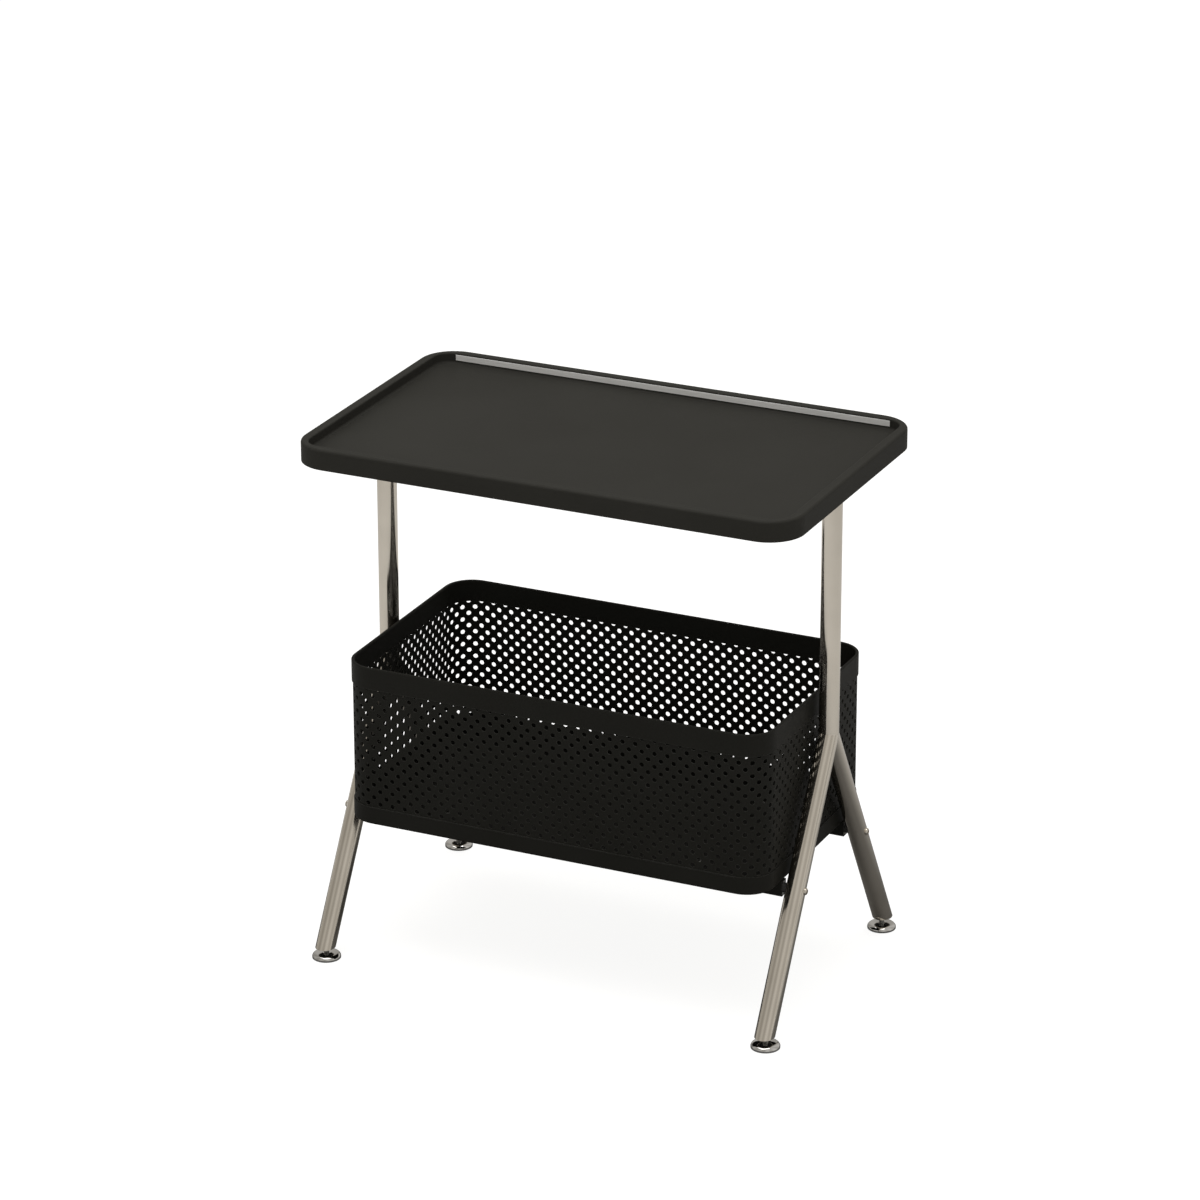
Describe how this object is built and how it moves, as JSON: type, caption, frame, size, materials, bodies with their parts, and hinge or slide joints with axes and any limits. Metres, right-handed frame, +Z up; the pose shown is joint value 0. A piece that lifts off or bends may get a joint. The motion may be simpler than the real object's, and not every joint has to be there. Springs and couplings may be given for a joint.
{
  "type": "side table",
  "caption": "Side table with a recessed rectangular tray on two Y-shaped tube frames, a perforated sheet metal basket between the legs and levelling feet.",
  "frame": {"origin": "on the floor, below the centre of the tray", "axes": "+X along the tray's length to the right, +Y to the rear, where the rim carries a metal strip, +Z up"},
  "size_m": [0.58, 0.36, 0.603],
  "materials": {
    "black_plastic": "fine-grained matt black",
    "black_steel": "satin black powder coat",
    "nickel_tube": "polished warm nickel",
    "chrome": "bright chrome",
    "satin_metal": "satin anodised",
    "zinc_steel": "zinc plated",
    "sole_plastic": "black moulded"
  },
  "bodies": {
    "root": {"tray_top": "black_plastic", "tray_rear_strip": "satin_metal", "tray_screws": "zinc_steel", "basket_wall": "black_steel", "basket_top_band": "black_steel", "basket_base_pan": "black_steel", "basket_screws": "zinc_steel", "basket_nuts": "zinc_steel", "front_crossbar": "black_steel", "rear_crossbar": "black_steel", "crossbar_end_nuts": "zinc_steel", "leg_saddles": "sole_plastic", "leg_bolts": "nickel_tube", "left_top_plate": "black_steel", "left_upright": "nickel_tube", "left_front_leg": "nickel_tube", "left_front_end_plug": "sole_plastic", "left_rear_leg": "nickel_tube", "left_rear_end_plug": "sole_plastic", "right_top_plate": "black_steel", "right_upright": "nickel_tube", "right_front_leg": "nickel_tube", "right_front_end_plug": "sole_plastic", "right_rear_leg": "nickel_tube", "right_rear_end_plug": "sole_plastic"},
    "left_front_foot": {"left_front_foot_cup": "chrome", "left_front_foot_sole": "sole_plastic"},
    "left_front_stud": {"left_front_foot_stud": "zinc_steel"},
    "left_rear_foot": {"left_rear_foot_cup": "chrome", "left_rear_foot_sole": "sole_plastic"},
    "left_rear_stud": {"left_rear_foot_stud": "zinc_steel"},
    "right_front_foot": {"right_front_foot_cup": "chrome", "right_front_foot_sole": "sole_plastic"},
    "right_front_stud": {"right_front_foot_stud": "zinc_steel"},
    "right_rear_foot": {"right_rear_foot_cup": "chrome", "right_rear_foot_sole": "sole_plastic"},
    "right_rear_stud": {"right_rear_foot_stud": "zinc_steel"}
  },
  "joints": [
    {"name": "left_front_foot_height", "type": "slide", "parent": "root", "child": "left_front_foot", "axis": [0, 0, -1], "range_m": [-0.003, 0.0055]},
    {"name": "left_front_stud_turn", "type": "hinge", "parent": "left_front_foot", "child": "left_front_stud", "pos_m": [-0.264, -0.164, 0], "axis": [0, 0, -1], "range_deg": [-1080, 1980]},
    {"name": "left_rear_foot_height", "type": "slide", "parent": "root", "child": "left_rear_foot", "axis": [0, 0, -1], "range_m": [-0.003, 0.0055]},
    {"name": "left_rear_stud_turn", "type": "hinge", "parent": "left_rear_foot", "child": "left_rear_stud", "pos_m": [-0.264, 0.164, 0], "axis": [0, 0, -1], "range_deg": [-1080, 1980]},
    {"name": "right_front_foot_height", "type": "slide", "parent": "root", "child": "right_front_foot", "axis": [0, 0, -1], "range_m": [-0.003, 0.0055]},
    {"name": "right_front_stud_turn", "type": "hinge", "parent": "right_front_foot", "child": "right_front_stud", "pos_m": [0.264, -0.164, 0], "axis": [0, 0, -1], "range_deg": [-1080, 1980]},
    {"name": "right_rear_foot_height", "type": "slide", "parent": "root", "child": "right_rear_foot", "axis": [0, 0, -1], "range_m": [-0.003, 0.0055]},
    {"name": "right_rear_stud_turn", "type": "hinge", "parent": "right_rear_foot", "child": "right_rear_stud", "pos_m": [0.264, 0.164, 0], "axis": [0, 0, -1], "range_deg": [-1080, 1980]}
  ],
  "couplings": [
    {"joint": "left_front_stud_turn", "follows": "left_front_foot_height", "rad_per_m": 6283.2},
    {"joint": "left_rear_stud_turn", "follows": "left_rear_foot_height", "rad_per_m": 6283.2},
    {"joint": "right_front_stud_turn", "follows": "right_front_foot_height", "rad_per_m": 6283.2},
    {"joint": "right_rear_stud_turn", "follows": "right_rear_foot_height", "rad_per_m": 6283.2}
  ]
}
